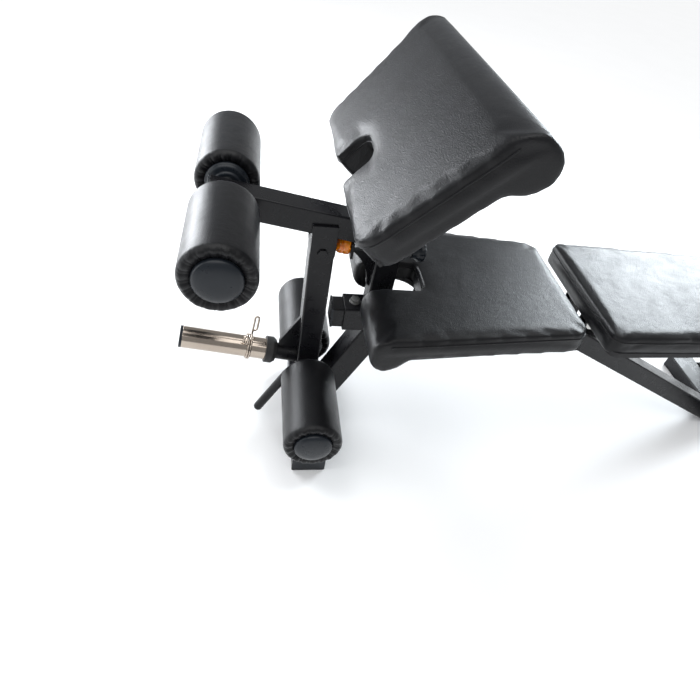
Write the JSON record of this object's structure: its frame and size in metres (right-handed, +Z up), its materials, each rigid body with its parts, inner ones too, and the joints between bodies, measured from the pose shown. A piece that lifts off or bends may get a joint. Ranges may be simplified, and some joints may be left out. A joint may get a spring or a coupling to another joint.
{
  "type": "adjustable weight bench",
  "caption": "Flat-to-upright padded weight bench with a swinging leg-curl arm, foam rollers, a plate post and a height-adjustable arm-curl pad.",
  "frame": {"origin": "middle of the front foot's underside, on the floor", "axes": "+Z up, +X along the bench towards its head end, +Y across it"},
  "size_m": [1.6921, 0.6, 0.8951],
  "materials": {
    "black_frame": "satin black powder coat",
    "steel": "zinc plated",
    "chrome": "polished",
    "plastic": "fine texture",
    "rubber": "matt",
    "vinyl": "black grained vinyl over foam",
    "board": "stained plywood",
    "amber": "translucent polyurethane"
  },
  "bodies": {
    "frame": {"front_foot": "black_frame", "rear_foot": "black_frame", "foot_plugs": "plastic", "front_leg": "black_frame", "front_handle": "black_frame", "main_beam": "black_frame", "rear_spine": "black_frame", "receiver_sleeve": "black_frame", "lock_bolt": "steel", "front_post": "black_frame", "upper_tube": "black_frame", "tube_plugs": "plastic", "pivot_lugs": "black_frame", "pivot_bolt": "black_frame", "stop_gusset": "black_frame", "bumper": "amber", "upper_axle": "steel", "hinge_lugs": "black_frame", "back_lock": "black_frame", "height_pin_barrel": "chrome", "back_pin_barrel": "chrome", "wheel_brackets": "black_frame", "seat_bolts": "steel", "back_hinge_pin": "steel", "seat_rails": "black_frame", "seat_board": "board", "seat_pad": "vinyl", "seat_screws": "steel"},
    "swing_arm": {"swing_arm": "black_frame", "pivot_bush": "plastic", "lower_axle": "steel", "weight_stub": "black_frame", "weight_flange": "rubber", "weight_sleeve": "chrome", "sleeve_cap": "plastic", "arm_gusset": "black_frame"},
    "spring_clip": {"spring_clip": "chrome"},
    "upper_roller_left": {"upper_roller_left_hub": "plastic", "upper_roller_left_foam": "vinyl"},
    "upper_roller_right": {"upper_roller_right_hub": "plastic", "upper_roller_right_foam": "vinyl"},
    "lower_roller_left": {"lower_roller_left_hub": "plastic", "lower_roller_left_foam": "vinyl"},
    "lower_roller_right": {"lower_roller_right_hub": "plastic", "lower_roller_right_foam": "vinyl"},
    "curl_rest": {"curl_post": "black_frame", "curl_bracket": "black_frame", "curl_board": "board", "curl_pad": "vinyl", "curl_screws": "steel"},
    "height_pin": {"height_pin": "steel", "height_knob": "plastic"},
    "backrest": {"back_rails": "black_frame", "back_board": "board", "back_pad": "vinyl", "back_sector": "black_frame", "back_screws": "steel"},
    "back_pin": {"back_pin": "plastic"},
    "wheel_left": {"wheel_left": "rubber"},
    "wheel_right": {"wheel_right": "rubber"}
  },
  "joints": [
    {"name": "leg_arm_swing", "type": "hinge", "parent": "frame", "child": "swing_arm", "pos_m": [-0.013, 0, 0.53195], "axis": [0, 1, 0], "range_deg": [0, 95]},
    {"name": "upper_roller_left_spin", "type": "hinge", "parent": "frame", "child": "upper_roller_left", "pos_m": [-0.1986, 0.15, 0.6215], "axis": [0, 1, 0], "continuous": true},
    {"name": "upper_roller_right_spin", "type": "hinge", "parent": "frame", "child": "upper_roller_right", "pos_m": [-0.1986, -0.15, 0.6215], "axis": [0, 1, 0], "continuous": true},
    {"name": "lower_roller_left_spin", "type": "hinge", "parent": "swing_arm", "child": "lower_roller_left", "pos_m": [-0.013, 0.15, 0.2055], "axis": [0, 1, 0], "continuous": true},
    {"name": "lower_roller_right_spin", "type": "hinge", "parent": "swing_arm", "child": "lower_roller_right", "pos_m": [-0.013, -0.15, 0.2055], "axis": [0, 1, 0], "continuous": true},
    {"name": "spring_clip_slide", "type": "slide", "parent": "swing_arm", "child": "spring_clip", "axis": [-0.9863, 0, 0.165], "range_m": [-0.026, 0.13]},
    {"name": "curl_height", "type": "slide", "parent": "frame", "child": "curl_rest", "axis": [0, 0, 1], "range_m": [-0.025, 0.05]},
    {"name": "height_pin_pull", "type": "slide", "parent": "frame", "child": "height_pin", "axis": [1, 0, 0], "range_m": [0, 0.008], "stiffness_N_per_m": 700},
    {"name": "back_recline", "type": "hinge", "parent": "frame", "child": "backrest", "pos_m": [0.624, 0, 0.403], "axis": [0, -1, 0], "range_deg": [0, 65]},
    {"name": "back_pin_pull", "type": "slide", "parent": "frame", "child": "back_pin", "axis": [0, 1, 0], "range_m": [0, 0.008], "stiffness_N_per_m": 700},
    {"name": "wheel_left_spin", "type": "hinge", "parent": "frame", "child": "wheel_left", "pos_m": [1.35067, 0.18, 0.038], "axis": [0, 1, 0], "continuous": true},
    {"name": "wheel_right_spin", "type": "hinge", "parent": "frame", "child": "wheel_right", "pos_m": [1.35067, -0.18, 0.038], "axis": [0, 1, 0], "continuous": true}
  ]
}
